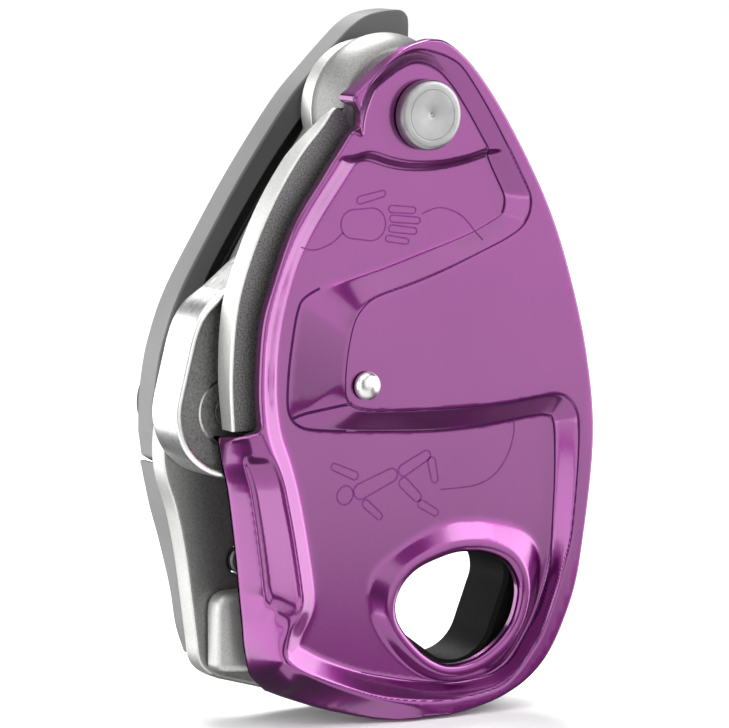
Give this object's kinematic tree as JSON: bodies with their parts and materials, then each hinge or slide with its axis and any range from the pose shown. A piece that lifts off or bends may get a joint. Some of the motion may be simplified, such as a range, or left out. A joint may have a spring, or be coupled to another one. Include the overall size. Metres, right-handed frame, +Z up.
{
  "type": "belay device",
  "caption": "Hand-sized assisted-braking belay device: a stamped side plate swings off a cast frame to open the rope channel, with a cam between them and a fold-out release handle behind.",
  "frame": {"origin": "centre of the carabiner hole, halfway through its depth", "axes": "+X to the right and +Z up when the swinging plate faces the viewer, +Y to the back; the hole's axis and every pivot run along Y"},
  "size_m": [0.0697, 0.0312, 0.1084],
  "materials": {
    "anodised_plate": "violet anodised, satin gloss",
    "blasted_steel": "sandblasted, fine grain",
    "bright_steel": "bright, turned or formed",
    "turned_steel": "turned face with fine rings",
    "polished_steel": "polished rim, blasted recess",
    "dark_steel": "blackened",
    "cast_aluminium": "cast, tumbled, matte",
    "grey_plastic": "fine-textured moulded plastic",
    "black_plastic": "moulded",
    "bronze": "sintered",
    "spring_steel": "drawn wire"
  },
  "bodies": {
    "frame": {"frame_plate": "cast_aluminium", "friction_anvil": "blasted_steel", "anvil_screw": "dark_steel", "hole_liner": "black_plastic", "main_pivot_pin": "turned_steel", "pivot_spacer": "cast_aluminium", "pivot_washer": "bright_steel", "cam_axle": "blasted_steel", "axle_nut": "bright_steel", "cam_stop_pin": "bright_steel", "cam_spring": "spring_steel", "handle_spring": "spring_steel", "rear_cover": "black_plastic", "rear_guard": "grey_plastic", "cover_screw_upper": "dark_steel", "cover_screw_right": "dark_steel", "cover_screw_lower": "dark_steel", "selector_screw": "dark_steel", "detent_spring": "spring_steel", "detent_ball": "bright_steel"},
    "side_plate": {"moving_side_plate": "anodised_plate", "wear_plate": "blasted_steel", "wear_plate_rivet": "bright_steel"},
    "cam": {"cam": "polished_steel", "cam_bushing": "bronze"},
    "handle": {"handle_shell": "grey_plastic", "handle_core": "black_plastic"},
    "selector": {"mode_selector_knob": "grey_plastic"}
  },
  "joints": [
    {"name": "side_plate_swing", "type": "hinge", "parent": "frame", "child": "side_plate", "pos_m": [-0.0067, -0.005, 0.0769], "axis": [0, 1, 0], "range_deg": [0, 100]},
    {"name": "cam_pinch", "type": "hinge", "parent": "frame", "child": "cam", "pos_m": [-0.036, 0.004, 0.0322], "axis": [0, 1, 0], "range_deg": [0, 20], "stiffness_Nm_per_rad": 0.12, "springref_deg": -8.59},
    {"name": "handle_unfold", "type": "hinge", "parent": "frame", "child": "handle", "pos_m": [-0.036, 0.015, 0.0322], "axis": [0, -1, 0], "range_deg": [0, 100], "stiffness_Nm_per_rad": 0.015, "springref_deg": -22.92},
    {"name": "selector_turn", "type": "hinge", "parent": "frame", "child": "selector", "pos_m": [0.001, 0.018, 0.042], "axis": [0, 1, 0], "range_deg": [0, 60]}
  ]
}
